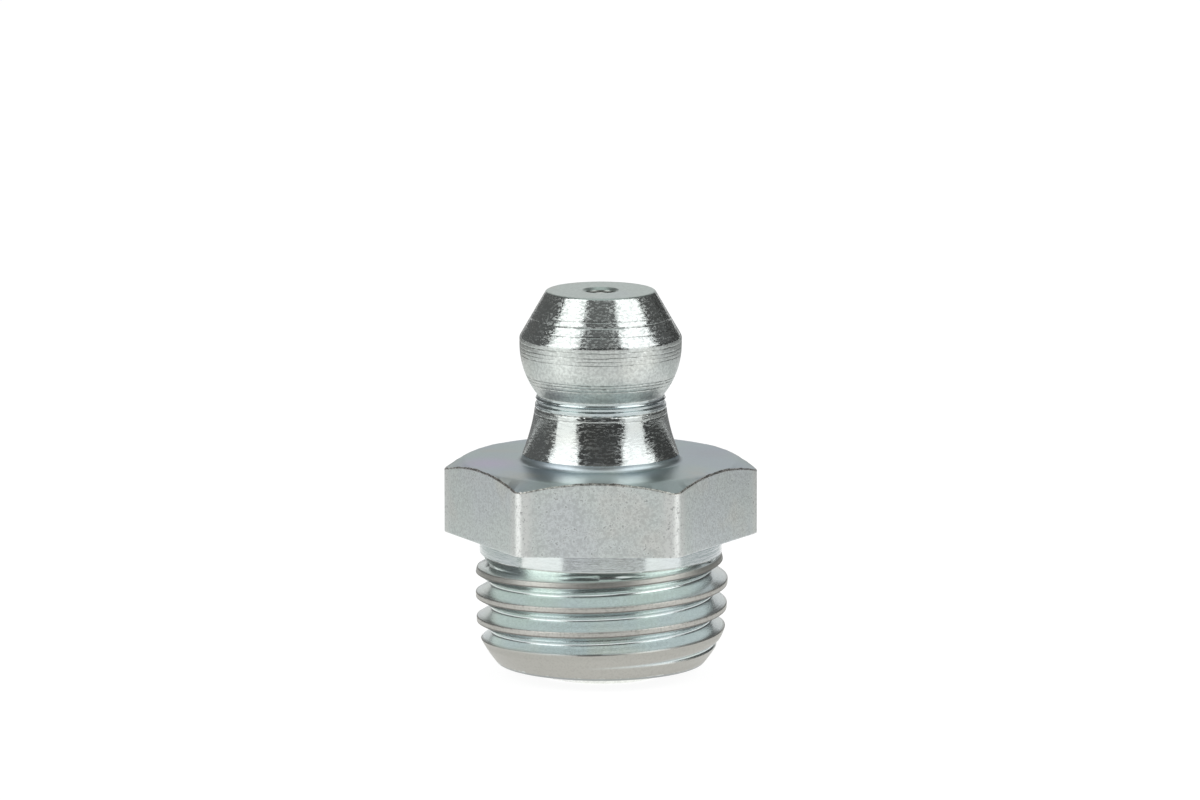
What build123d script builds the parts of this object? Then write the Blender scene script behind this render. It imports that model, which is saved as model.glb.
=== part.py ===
from build123d import *

import math
import os

# Straight hydraulic grease nipple, M10 x 1, turned from 11 mm hexagon bar.
# Millimetres. The origin lies on the axis in the seat plane under the hexagon.
# +Z points to the head, where the grease gun grips. The shank goes down into its hole.

# Hexagon
HEX_ACROSS_FLATS = 11.0
HEX_CORNER_RADIUS = 0.5       # rounded corners of the drawn bar
HEX_HEIGHT = 2.97
HEX_CROWN_DIAMETER = 10.94    # flat ring on top, inside the chamfer
HEX_CHAMFER_ANGLE = 27.0      # slope of the chamfer, from the horizontal

# Neck, from the hexagon up
NECK_BASE_DIAMETER = 6.26
NECK_BASE_HEIGHT = 0.3        # from the hexagon's top to where the flare starts
NECK_BASE_FILLET = 0.27
NECK_FLARE_HEIGHT = 2.01
NECK_FLARE_BOW = 0.075        # how far the flare curves in from a straight cone
NECK_TOP_DIAMETER = 5.24
NECK_GROOVE_DIAMETER = 5.1
NECK_GROOVE_STEP = 0.05       # height of the small step into the groove
NECK_GROOVE_WIDTH = 0.34

# Head, which the coupler's jaws grip from below
HEAD_DIAMETER = 6.5
HEAD_BAND_LENGTH = 0.31
HEAD_CONE_ANGLE = 30.0        # from the axis
HEAD_EDGE_RADIUS = 0.3        # between the cone and the band
TOP_FACE_DIAMETER = 4.36
TOP_EDGE_BREAK = 0.08

# Inlet and valve seat
INLET_DIAMETER = 1.2
INLET_MOUTH_DIAMETER = 1.52
INLET_MOUTH_DEPTH = 0.1
INLET_LAND = 0.06             # straight length of the inlet hole
SEAT_ANGLE = 45.0             # from the axis
BORE_DIAMETER = 3.0

# Shank, from the seat plane down
COLLAR_DIAMETER = 9.74
COLLAR_LENGTH = 0.8
RELIEF_DIAMETER = 9.3
RELIEF_WIDTH = 0.2
THREAD_DIAMETER = 10.06       # M10 x 1 short taper, at the middle of its length
THREAD_LENGTH = 2.77          # full diameter, from the relief to the lead-in
LEAD_IN_LENGTH = 1.47
LEAD_IN_BOW = 0.1             # the lead-in is slightly rounded
END_FACE_DIAMETER = 8.36

# Rim, rolled in at the end to hold the spring
RIM_DIAMETER = 5.2
RIM_HEIGHT = 0.48
RIM_EDGE_BREAK = 0.15
LIP_THICKNESS = 0.36
LIP_DISH_DIAMETER = 3.5       # the tool that rolls the rim in leaves a shallow dish
LIP_DISH_DEPTH = 0.12
OUTLET_DIAMETER = 2.1

# Ball
BALL_DIAMETER = 2.5
BALL_GAP = 0.02               # ball to seat, when closed

# Spring
SPRING_WIRE = 0.3
WIRE_FLATS = 6                # flats that stand for the round wire, of the same area
SPRING_CLEARANCE = 0.15       # spring to bore, all round
SPRING_TO_BALL = 0.04
END_COIL_PITCH = 0.34
OPEN_TURNS = 8


def heights():
    """Levels that follow from the sizes above, from the seat plane."""
    z = {"hex_top": HEX_HEIGHT}
    z["flare_foot"] = z["hex_top"] + NECK_BASE_HEIGHT
    z["flare_top"] = z["flare_foot"] + NECK_FLARE_HEIGHT
    z["groove_foot"] = z["flare_top"] + NECK_GROOVE_STEP
    z["groove_top"] = z["groove_foot"] + NECK_GROOVE_WIDTH
    head = HEAD_DIAMETER / 2
    groove = NECK_GROOVE_DIAMETER / 2
    z["band_foot"] = z["groove_top"] + math.sqrt(head**2 - groove**2)
    z["band_top"] = z["band_foot"] + HEAD_BAND_LENGTH
    taper = math.tan(math.radians(HEAD_CONE_ANGLE))
    z["top"] = z["band_top"] + (HEAD_DIAMETER - TOP_FACE_DIAMETER) / 2 / taper
    z["mouth"] = z["top"] - INLET_MOUTH_DEPTH
    z["seat_top"] = z["mouth"] - INLET_LAND
    z["collar"] = -COLLAR_LENGTH
    z["relief"] = z["collar"] - RELIEF_WIDTH
    z["thread_end"] = z["relief"] - THREAD_LENGTH
    z["end_face"] = z["thread_end"] - LEAD_IN_LENGTH
    z["rim"] = z["end_face"] - RIM_HEIGHT
    z["lip"] = z["rim"] + LIP_THICKNESS
    return z


Z = heights()


def ball_centre():
    """Height of the ball when it lies in the cone seat, BALL_GAP off it."""
    angle = math.radians(SEAT_ANGLE)
    apex = Z["seat_top"] + INLET_DIAMETER / 2 / math.tan(angle)
    return apex - (BALL_DIAMETER / 2 + BALL_GAP) / math.sin(angle)


def turned_section():
    """Half section of the turned body, with the hexagon as a full round flange."""
    flange = HEX_ACROSS_FLATS / math.sqrt(3) + 0.5
    crown = HEX_CROWN_DIAMETER / 2
    chamfer_drop = (flange - crown) * math.tan(math.radians(HEX_CHAMFER_ANGLE))
    seat_drop = (BORE_DIAMETER - INLET_DIAMETER) / 2 / math.tan(math.radians(SEAT_ANGLE))
    top_edge = (TOP_FACE_DIAMETER / 2, Z["top"])
    head_edge = (HEAD_DIAMETER / 2, Z["band_top"])
    neck_foot = (NECK_BASE_DIAMETER / 2, Z["hex_top"])
    foot_radius = min(NECK_BASE_FILLET, 0.95 * NECK_BASE_HEIGHT)  # no taller than the wall it stands on
    rim_edge = (RIM_DIAMETER / 2, Z["rim"])

    with BuildSketch(Plane.XZ) as section:
        with BuildLine():
            head = Polyline(
                (INLET_MOUTH_DIAMETER / 2, Z["top"]),
                top_edge,
                head_edge,
                (HEAD_DIAMETER / 2, Z["band_foot"]),
            )
            underside = RadiusArc(head @ 1, (NECK_GROOVE_DIAMETER / 2, Z["groove_top"]), HEAD_DIAMETER / 2)
            groove = Polyline(
                underside @ 1,
                (NECK_GROOVE_DIAMETER / 2, Z["groove_foot"]),
                (NECK_TOP_DIAMETER / 2, Z["flare_top"]),
            )
            flare = SagittaArc(groove @ 1, (NECK_BASE_DIAMETER / 2, Z["flare_foot"]), -NECK_FLARE_BOW)
            shank = Polyline(
                flare @ 1,
                neck_foot,
                (crown, Z["hex_top"]),
                (flange, Z["hex_top"] - chamfer_drop),
                (flange, 0),
                (COLLAR_DIAMETER / 2, 0),
                (COLLAR_DIAMETER / 2, Z["collar"]),
                (RELIEF_DIAMETER / 2, Z["collar"]),
                (RELIEF_DIAMETER / 2, Z["relief"]),
                (THREAD_DIAMETER / 2, Z["relief"]),
                (THREAD_DIAMETER / 2, Z["thread_end"]),
            )
            lead_in = SagittaArc(shank @ 1, (END_FACE_DIAMETER / 2, Z["end_face"]), LEAD_IN_BOW)
            Polyline(
                lead_in @ 1,
                (RIM_DIAMETER / 2, Z["end_face"]),
                rim_edge,
                (LIP_DISH_DIAMETER / 2, Z["rim"]),
                (OUTLET_DIAMETER / 2, Z["rim"] + LIP_DISH_DEPTH),
                (OUTLET_DIAMETER / 2, Z["lip"]),
                (BORE_DIAMETER / 2, Z["lip"]),
                (BORE_DIAMETER / 2, Z["seat_top"] - seat_drop),
                (INLET_DIAMETER / 2, Z["seat_top"]),
                (INLET_DIAMETER / 2, Z["mouth"]),
                head @ 0,
            )
        make_face()
        for corner, radius in ((head_edge, HEAD_EDGE_RADIUS), (neck_foot, foot_radius)):
            fillet(section.vertices().sort_by_distance(Vector(*corner))[0], radius)
        for corner, width in ((top_edge, TOP_EDGE_BREAK), (rim_edge, RIM_EDGE_BREAK)):
            chamfer(section.vertices().sort_by_distance(Vector(*corner))[0], width)
    return section


def hexagon_bar():
    """Hexagon bar with rounded corners, as long as the part."""
    outline = RegularPolygon(HEX_ACROSS_FLATS / 2, 6, major_radius=False)
    outline = fillet(outline.vertices(), HEX_CORNER_RADIUS)
    return Pos(0, 0, Z["rim"]) * extrude(outline, Z["top"] - Z["rim"])


def nipple_body():
    """The section turned round the axis, out of hexagon bar."""
    return revolve(turned_section().sketch, Axis.Z) & hexagon_bar()


def valve_ball():
    return Pos(0, 0, ball_centre()) * Sphere(BALL_DIAMETER / 2)


def valve_spring():
    """Wire coiled in one sweep with a closed coil at both ends, then ground flat there."""
    wire = SPRING_WIRE / 2
    coil = BORE_DIAMETER / 2 - SPRING_CLEARANCE - wire
    cup = coil - wire
    foot = Z["lip"]
    head = ball_centre() - math.sqrt((BALL_DIAMETER / 2 + SPRING_TO_BALL) ** 2 - cup**2)
    open_pitch = (head - foot - 2 * END_COIL_PITCH) / OPEN_TURNS
    runs = []
    level = foot
    for pitch, turns in ((END_COIL_PITCH, 1), (open_pitch, OPEN_TURNS), (END_COIL_PITCH, 1)):
        runs.append(Helix(pitch, pitch * turns, coil, center=(0, 0, level)))
        level += pitch * turns
    path = Wire(runs)
    corner = wire * math.sqrt(2 * math.pi / (WIRE_FLATS * math.sin(2 * math.pi / WIRE_FLATS)))
    section = Plane(path @ 0, z_dir=path % 0) * RegularPolygon(corner, WIRE_FLATS)
    ground = Pos(0, 0, (foot + head) / 2) * Cylinder(BORE_DIAMETER, head - foot)
    return sweep(section, path=path, is_frenet=True) & ground


os.makedirs("parts", exist_ok=True)
export_step(nipple_body(), "parts/nipple_body.step")
export_step(valve_ball(), "parts/valve_ball.step")
export_step(valve_spring(), "parts/valve_spring.step")
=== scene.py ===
# %% [markdown]
# # A straight grease nipple
# A grease nipple is a small check valve that screws into a bearing housing. A grease gun grips its coned head and
# pushes a ball off its seat; a spring brings the ball back when the gun lets go. The real thing is three pieces:
# a body turned from one length of hexagon bar, a ball and a spring. This lesson dresses the CAD frame of those
# three pieces with a real cut thread, broken edges, turning marks and a zinc finish.

import math

import bmesh
import bpy
import numpy as np
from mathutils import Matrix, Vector


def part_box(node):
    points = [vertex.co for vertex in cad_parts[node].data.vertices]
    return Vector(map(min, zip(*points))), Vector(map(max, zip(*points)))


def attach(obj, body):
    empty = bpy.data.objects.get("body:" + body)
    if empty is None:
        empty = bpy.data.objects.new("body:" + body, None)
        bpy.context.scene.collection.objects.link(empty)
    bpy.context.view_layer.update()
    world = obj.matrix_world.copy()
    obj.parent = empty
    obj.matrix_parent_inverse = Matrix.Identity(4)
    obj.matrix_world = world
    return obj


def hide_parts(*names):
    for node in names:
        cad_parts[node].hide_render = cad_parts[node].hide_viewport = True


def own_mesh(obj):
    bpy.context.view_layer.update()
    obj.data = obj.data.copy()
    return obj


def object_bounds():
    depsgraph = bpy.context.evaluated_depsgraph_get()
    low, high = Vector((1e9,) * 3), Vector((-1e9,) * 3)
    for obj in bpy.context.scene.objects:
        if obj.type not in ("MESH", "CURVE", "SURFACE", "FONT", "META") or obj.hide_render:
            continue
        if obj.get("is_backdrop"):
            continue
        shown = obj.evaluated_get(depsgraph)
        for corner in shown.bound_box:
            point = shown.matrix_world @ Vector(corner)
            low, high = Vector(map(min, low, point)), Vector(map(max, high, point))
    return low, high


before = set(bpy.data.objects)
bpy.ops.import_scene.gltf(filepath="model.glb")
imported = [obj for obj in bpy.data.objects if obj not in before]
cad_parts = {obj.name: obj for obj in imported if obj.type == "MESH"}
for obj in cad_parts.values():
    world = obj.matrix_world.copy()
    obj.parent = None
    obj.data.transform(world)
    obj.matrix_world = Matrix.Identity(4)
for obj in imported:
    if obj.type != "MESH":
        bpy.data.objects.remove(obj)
cad_low, cad_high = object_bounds()
MM = 0.001  # the frame is in metres, and this lesson thinks in millimetres


def placed(name, data):
    """A new object at the origin."""
    thing = bpy.data.objects.new(name, data)
    bpy.context.scene.collection.objects.link(thing)
    return thing


print("CAD box in mm:", [round(v / MM, 2) for v in (*cad_low, *cad_high)])

# %% [markdown]
# ## The camera
# A small turned part looks right through a long lens from a little above, where its round edges open into thin
# ellipses. The camera stands 350 mm away and looks 10 degrees down, from a touch to the right of the front flat.

# %% Camera
CAMERA_LENS, SENSOR_WIDTH = 262.04, 36.0  # mm
CAMERA_PLACE = (8.395, -344.545, 66.275)  # mm
CAMERA_DROP = 10.02  # degrees below the horizon
CAMERA_TURN = 1.4  # degrees to the right of the front flat
CLIP_START, CLIP_END = 0.01, 20.0  # metres

camera_data = bpy.data.cameras.new("camera")
camera_data.lens, camera_data.sensor_width = CAMERA_LENS, SENSOR_WIDTH
camera_data.clip_start, camera_data.clip_end = CLIP_START, CLIP_END
camera = placed("camera", camera_data)
camera.location = Vector(CAMERA_PLACE) * MM
camera.rotation_euler = (math.radians(90 - CAMERA_DROP), 0, math.radians(CAMERA_TURN))
bpy.context.scene.camera = camera
print("camera at", [round(v, 4) for v in camera.location])

# %% [markdown]
# ## One angle grid for the whole body
# Everything on the body but its hexagon is round, so the body is a stack of rings joined into a skin. All rings
# share the same angles, counted from the front flat, with the seam at the back. 276 points a ring leave no corner
# that shows in an outline.

# %% Angles and rings
RING_POINTS = 276


def angles_of(count):
    return -math.pi + 2 * math.pi * np.arange(count) / count


ANGLES = angles_of(RING_POINTS)


def ring(radius, height, angles=ANGLES):
    """Corner points, in metres, of one ring. Radius and height in mm may change with the angle."""
    height = np.broadcast_to(height, angles.shape)
    return MM * np.stack([radius * np.sin(angles), -radius * np.cos(angles), height], axis=1)


def mesh_of(name, rows, closed=False, more_points=(), more_faces=()):
    """A mesh of four-sided faces between rows of points. A closed one also joins each row's end to its start."""
    wide = len(rows[0])
    pairs = [(here, (here + 1) % wide) for here in range(wide if closed else wide - 1)]
    faces = [
        (row * wide + here, row * wide + after, (row + 1) * wide + after, (row + 1) * wide + here)
        for row in range(len(rows) - 1)
        for here, after in pairs
    ]
    mesh = bpy.data.meshes.new(name)
    mesh.from_pydata([*np.concatenate(rows).tolist(), *more_points], [], [*faces, *more_faces])
    return mesh


print(len(ANGLES), "points on each ring")

# %% [markdown]
# ## Corners are never sharp
# A cutting tool has a nose radius and zinc rounds what is left, so each corner of the outline is a small arc, which
# catches the light. `soften` puts that arc in, with one more ring just beyond each end of it: those two rings keep
# the arc's shading from leaking into the flat faces beside it.

# %% Soft corners
ARC_STEPS = 4
HOLD = 0.03  # mm from an arc to the ring that holds its shading
HOLD_SHARE = 0.25  # of a short run, where that is less


def length(vector):
    return np.linalg.norm(vector, axis=0)


def unit(vector):
    return vector / np.maximum(length(vector), 1e-9)


def as_columns(point):
    """An outline point as a 2 x 1 or 2 x RING_POINTS array."""
    return np.stack(np.broadcast_arrays(*(np.atleast_1d(part) for part in point))).astype(float)


def soften(before, corner, after, radius, steps=ARC_STEPS):
    """Outline points (radius, height) that replace a corner between two straight runs."""
    before, corner, after = as_columns(before), as_columns(corner), as_columns(after)
    back, on = unit(before - corner), unit(after - corner)
    half = 0.5 * np.arccos(np.clip((back * on).sum(axis=0), -1, 1))
    reach = radius / np.tan(half)
    centre = corner + unit(back + on) * radius / np.sin(half)
    start, end = corner + back * reach, corner + on * reach
    first, last = (start - centre) / radius, (end - centre) / radius
    sweep = math.pi - 2 * half
    arc = []
    for step in range(steps + 1):
        share = step / steps
        spoke = (np.sin((1 - share) * sweep) * first + np.sin(share * sweep) * last) / np.sin(sweep)
        arc.append(centre + spoke * radius)
    holds = [np.minimum(HOLD, HOLD_SHARE * length(other - corner)) for other in (before, after)]
    return [start + back * holds[0], *arc, end + on * holds[1]]


def outline(corners):
    """All points of an outline given as corners (radius, height, softness). A point on a curve has softness 0."""
    points = []
    for number, (r, z, soft) in enumerate(corners):
        if soft and 0 < number < len(corners) - 1:
            points += soften(corners[number - 1][:2], (r, z), corners[number + 1][:2], soft)
        else:
            points.append((r, z))
    return points


print("a square corner of 0.1 mm takes", len(soften((0, 0), (1, 0), (1, 1), 0.1)), "rings")

# %% [markdown]
# ## The head and the neck
# The gun's coupler slips over the cone, snaps in under the widest band and seals on the flat top. That gives the
# head its shape: a 30 degree cone, a short band, and an underside that is part of a ball. A thin groove and a flared
# neck lead down to the hexagon. Numbers for radius and height are enough for all of it. The fine grooves that the
# tool left are real dents, a few hundredths of a millimetre deep.

# %% Head and neck outline
TOP = cad_high.z / MM
HEAD_RADIUS = 3.25
BAND_FOOT, BAND_TOP = 7.685, 7.995
CONE_SLOPE = math.tan(math.radians(30))
TOP_RADIUS = 2.18
INLET_RADIUS, MOUTH_RADIUS, MOUTH_DEPTH = 0.6, 0.76, 0.1
GROOVE_RADIUS, GROOVE_TOP, GROOVE_FOOT = 2.555, 5.67, 5.335
NECK_TOP_RADIUS, NECK_TOP = 2.62, 5.28
NECK_FOOT_RADIUS, NECK_FOOT = 3.13, 3.27
NECK_BOW = 0.075
HEXAGON_TOP = 2.97

WAVER_MIDDLE, WAVER_SWING = 0.85, 0.28
WAVER_LOW, WAVER_HIGH = 0.35, 1.3
WAVER_WAVES = ((5, 1.1), (11, 2.3), (23, 0.7), (41, 4.0), (67, 5.2), (97, 3.1))  # waves per turn, phase
LINE_SHAPE = ((0.5, 0), (0.3, 0.55), (0, 1), (-0.3, 0.55), (-0.5, 0))  # shares of a line's width and depth


def sines(waves, seed=1.0):
    """A sum of sine waves round the axis."""
    return sum(np.sin(count * ANGLES + phase * seed) for count, phase in waves)


def waver(seed):
    """A factor that wanders round the axis, so that no tool line is perfectly even."""
    return np.clip(WAVER_MIDDLE + WAVER_SWING * sines(WAVER_WAVES, seed), WAVER_LOW, WAVER_HIGH)


def tool_line(radius_at, height, width, depth, seed=None):
    """A shallow round-bottomed groove, from above to below its height. Less than no depth makes it a bead."""
    evenness = waver(seed) if seed else 1.0
    dents = [(height + across * width, down * depth * evenness) for across, down in LINE_SHAPE]
    line = [(radius_at(level) - dent, level, 0) for level, dent in dents]
    above, below = height + 0.5 * width + HOLD, height - 0.5 * width - HOLD
    return [(radius_at(above), above, 0), *line, (radius_at(below), below, 0)]


def tool_lines(radius_at, lines, first_seed):
    return [point for n, line in enumerate(lines) for point in tool_line(radius_at, *line, first_seed + n)]


def cone_radius(height):
    return HEAD_RADIUS - (height - BAND_TOP) * CONE_SLOPE


def underside_radius(height):
    return math.sqrt(HEAD_RADIUS**2 - (BAND_FOOT - height) ** 2)


def neck_radius(height):
    share = (NECK_TOP - height) / (NECK_TOP - NECK_FOOT)
    straight = NECK_TOP_RADIUS + (NECK_FOOT_RADIUS - NECK_TOP_RADIUS) * share
    return straight - NECK_BOW * 4 * share * (1 - share)


# Tool lines are given as height, width and depth.
CONE_LINES = ((8.965, 0.04, 0.006), (8.755, 0.07, 0.024), (8.40, 0.05, 0.007))
BAND_LINE = (7.805, 0.05, 0.016)
UNDERSIDE_LINES = ((7.61, 0.045, 0.016), (7.46, 0.035, 0.009), (7.30, 0.035, 0.014))
UNDERSIDE_LINES += ((6.44, 0.035, 0.012), (6.32, 0.035, 0.012), (6.16, 0.045, 0.014))
UNDERSIDE_RINGS = (7.685, 7.54, 7.38, 7.22, 7.1, 6.98, 6.86, 6.74, 6.62, 6.52, 6.24, 6.08, 6.0, 5.92, 5.84, 5.76)
GROOVE_BEAD = (5.5, 0.15, -0.05)
NECK_LINES = ((5.12, 0.1, 0.025), (4.9, 0.05, 0.008))
FLARE_TOP, FLARE_RINGS = 4.82, 14

# Corners are given as radius, height and softness.
underside = [(underside_radius(z), z, 0) for z in UNDERSIDE_RINGS]
underside += tool_lines(underside_radius, UNDERSIDE_LINES, 5.0)
head_corners = [
    (MOUTH_RADIUS, TOP, 0.02),
    (TOP_RADIUS, TOP, 0.14),
    *tool_lines(cone_radius, CONE_LINES, 1.0),
    (HEAD_RADIUS, BAND_TOP, 0.3),
    *tool_lines(lambda z: HEAD_RADIUS, [BAND_LINE], 4.0),
    *sorted(underside, key=lambda corner: -corner[1]),
    (GROOVE_RADIUS, GROOVE_TOP, 0.03),
    *tool_line(lambda z: GROOVE_RADIUS, *GROOVE_BEAD),
    (GROOVE_RADIUS, GROOVE_FOOT, 0.015),
    (NECK_TOP_RADIUS + 0.01, NECK_TOP, 0.02),
    *tool_lines(neck_radius, NECK_LINES, 12.0),
]
flare_heights = [FLARE_TOP + (NECK_FOOT - FLARE_TOP) * n / FLARE_RINGS for n in range(FLARE_RINGS + 1)]
head_corners += [(neck_radius(z), z, 0) for z in flare_heights]
print(len(head_corners), "corners from the inlet to the foot of the neck")

# %% [markdown]
# ## The hexagon
# Drawn hexagon bar has rounded corners, and a lathe tool cuts a 27 degree chamfer on its end. Where that cone
# meets a flat it leaves the curved edge that every nut has: the chamfer's height simply follows the bar's radius at
# each angle. The points of a ring crowd together at the six corners, where the bar bends.

# %% Hexagon outline
FLAT_RADIUS = cad_high.y / MM  # half of the width across flats
CORNER_RADIUS = 0.5
CROWN_RADIUS = 5.47
CHAMFER_SLOPE = math.tan(math.radians(27))
FLAT_POINTS = 0.72  # share of the points that go on the flats
SECTOR, HALF_SECTOR = math.radians(60), math.radians(30)

corner_centre = (FLAT_RADIUS - CORNER_RADIUS) / math.cos(HALF_SECTOR)
flat_half_width = (FLAT_RADIUS - CORNER_RADIUS) * math.tan(HALF_SECTOR)
flat_end = math.atan2(flat_half_width, FLAT_RADIUS)

middle_of_flat = np.round(ANGLES / SECTOR) * SECTOR
local = (ANGLES - middle_of_flat) / HALF_SECTOR  # -1 to 1 from corner to corner
on_flat = np.abs(local) < FLAT_POINTS
from_middle = np.where(
    on_flat,
    np.abs(local) / FLAT_POINTS * flat_end,
    flat_end + (HALF_SECTOR - flat_end) * (np.abs(local) - FLAT_POINTS) / (1 - FLAT_POINTS),
)
bar_angles = middle_of_flat + np.sign(local) * from_middle
from_corner = HALF_SECTOR - from_middle
on_arc = CORNER_RADIUS**2 - (corner_centre * np.sin(from_corner)) ** 2
bar_radius = np.where(
    on_flat,
    FLAT_RADIUS / np.cos(from_middle),
    corner_centre * np.cos(from_corner) + np.sqrt(np.maximum(on_arc, 0)),
)
chamfer_edge = HEXAGON_TOP - (bar_radius - CROWN_RADIUS) * CHAMFER_SLOPE
print("across corners", round(2 * bar_radius.max(), 2), "mm, chamfer drops to", round(chamfer_edge.min(), 2))

# %% [markdown]
# The tool leaves a burr along the curved edge of the chamfer, a few hundredths of a millimetre high. It draws the
# dark and bright line round the top of the hexagon. Its height wanders with a handful of sine waves.

# %% Chamfer, burr, flats and collar
BURR_HEIGHT = 0.026
BURR_WAVES = ((7, 0.4), (17, 1.9), (31, 4.1), (53, 2.2), (89, 5.0))  # waves per turn, phase
BURR_RINGS = ((0.085, 0), (0.07, 0.35), (0.05, 1))  # mm inside the edge, share of the burr's height
EDGE_BREAK = 0.035
FOOT_SOFTNESS, FOOT_STEPS = 0.26, 8
FLAT_ROWS = (0.85, 0.6, 0.35, 0.12)  # shares of a flat's height
COLLAR_RADIUS, COLLAR_MIDDLE, COLLAR_FOOT = 4.87, -0.3, -0.73

uneven = np.clip(0.8 + 0.3 * sines(BURR_WAVES), 0.1, 1.4)
less_behind = np.clip(0.7 + np.cos(ANGLES), 0.05, 1)
# The chamfer burr's height round the axis; the thread's painted shade line shares this name.
burr_and_painted_shade = BURR_HEIGHT * uneven * less_behind


def on_chamfer(distance, lift=0):
    """Outline point on the chamfer cone, this far inside the hexagon's edge. The flat top cuts the cone off."""
    return (bar_radius - distance, np.minimum(chamfer_edge + distance * CHAMFER_SLOPE, HEXAGON_TOP) + lift)


neck_foot, inner_corner = (NECK_FOOT_RADIUS, NECK_FOOT), (NECK_FOOT_RADIUS, HEXAGON_TOP)
foot_arc = soften(neck_foot, inner_corner, (CROWN_RADIUS, HEXAGON_TOP), FOOT_SOFTNESS, FOOT_STEPS)
neck_foot_outline = [(NECK_FOOT_RADIUS + 0.012, NECK_FOOT - 0.02), (NECK_FOOT_RADIUS + 0.008, NECK_FOOT - 0.04)]
neck_foot_outline += foot_arc[1:]
flat_edge = soften(on_chamfer(0.4), (bar_radius, chamfer_edge), (bar_radius, 0), EDGE_BREAK)
bottom_edge = soften((bar_radius, 1.0), (bar_radius, 0), (COLLAR_RADIUS, 0), EDGE_BREAK)
chamfer_start = np.minimum(CROWN_RADIUS + 0.05, bar_radius - 0.1)
crown = [(CROWN_RADIUS - 0.4, HEXAGON_TOP), (CROWN_RADIUS - 0.1, HEXAGON_TOP)]
crown.append((chamfer_start, HEXAGON_TOP - np.maximum(chamfer_start - CROWN_RADIUS, 0) * CHAMFER_SLOPE))
chamfer = [on_chamfer(distance, share * burr_and_painted_shade) for distance, share in BURR_RINGS]
flat_rows = [(bar_radius, chamfer_edge * share) for share in FLAT_ROWS]
collar_outline = outline([
    (COLLAR_RADIUS + 0.33, 0, 0),
    (COLLAR_RADIUS, 0, 0.03),
    (COLLAR_RADIUS, COLLAR_MIDDLE, 0),
    (COLLAR_RADIUS, COLLAR_FOOT + HOLD, 0),
    (COLLAR_RADIUS, COLLAR_FOOT, 0),
])[1:]
print("burr from", round(burr_and_painted_shade.min(), 3), "to", round(burr_and_painted_shade.max(), 3), "mm")

# %% [markdown]
# ## The end and the inside
# Below the thread the end is turned to a blunt cone. The rim in its middle is rolled inwards after the ball and
# the spring have gone in, and holds them. Inside are the bore, the cone seat and the small inlet. They hardly show,
# but they make the body a true shell of metal, closed all round.

# %% Shank outline, before the thread is cut
END_RADIUS, END_FACE = 4.18, -5.24
THREAD_FOOT = -5.15  # where the threaded sheet meets the end's own rings
CREST_RADIUS, CREST_HEIGHT = 5.085, -1.7  # the crest has its full height from here down
CREST_FADE = -0.85  # above this the crest is no wider than the collar
TAPER = 1 / 32  # loss of radius for each mm down
RUN_OUT = 0.035  # the thread sits this much to the right of the axis
LEAD_IN_TOP, LEAD_IN_BOW = -3.77, 0.1


def crest_radius(height, angles=0.0):
    """Radius of the thread's crest, as if there were no lead-in."""
    rise = np.clip((CREST_FADE - height) / (CREST_FADE - CREST_HEIGHT), 0, 1)
    tapered = CREST_RADIUS + (np.minimum(height, CREST_HEIGHT) - CREST_HEIGHT) * TAPER
    return COLLAR_RADIUS + (tapered - COLLAR_RADIUS + RUN_OUT * np.sin(angles)) * rise


def blank_radius(height, angles=0.0):
    """Radius of the uncut shank: as the crest, then the rounded lead-in."""
    share = np.clip((LEAD_IN_TOP - height) / (LEAD_IN_TOP - END_FACE), 0, 1)
    start = crest_radius(LEAD_IN_TOP)
    lead_in = start + (END_RADIUS - start) * share + LEAD_IN_BOW * 4 * share * (1 - share)
    return np.where(share > 0, np.minimum(lead_in, crest_radius(height, angles)), crest_radius(height, angles))


shank_ends = [round(float(blank_radius(height)), 3) for height in (COLLAR_FOOT, THREAD_FOOT)]
print("shank radius at its two ends in mm:", shank_ends)

# %% End, rim and bore outline
RIM_RADIUS, RIM_FOOT = 2.60, cad_low.z / MM
DISH_RADIUS, DISH_DEPTH = 1.75, 0.12
OUTLET_RADIUS = 1.05
BORE_RADIUS, BORE_FOOT = 1.5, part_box("valve_spring")[0].z / MM
SEAT_FOOT, SEAT_TOP = 8.789, 9.689

inside_corners = [
    (float(blank_radius(THREAD_FOOT)), THREAD_FOOT, 0),
    (END_RADIUS, END_FACE, 0.03),
    (RIM_RADIUS + 0.35, END_FACE, 0),
    (RIM_RADIUS + 0.02, END_FACE, 0.06),
    (RIM_RADIUS, RIM_FOOT, 0.16),
    (DISH_RADIUS, RIM_FOOT, 0.1),
    (OUTLET_RADIUS, RIM_FOOT + DISH_DEPTH, 0.05),
    (OUTLET_RADIUS, BORE_FOOT, 0.03),
    (BORE_RADIUS, BORE_FOOT, 0),
    (BORE_RADIUS, SEAT_FOOT, 0),
    (INLET_RADIUS, SEAT_TOP, 0.01),
    (INLET_RADIUS, TOP - MOUTH_DEPTH, 0.01),
    (MOUTH_RADIUS, TOP, 0.02),
    (TOP_RADIUS, TOP, 0.14),
]
inside_outline = outline(inside_corners)[:-1]
print(len(inside_outline), "rings from the end face through the bore to the inlet")

# %% [markdown]
# ## Skin the rings
# The rings are listed once round the cut-open outline, each with the finish of the strip that follows it. Every
# point also gets a number called `along`: how many millimetres of outline lie between it and the first ring.
# Turning marks run square to that path, so the finishes can use it as their ruler.

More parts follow.
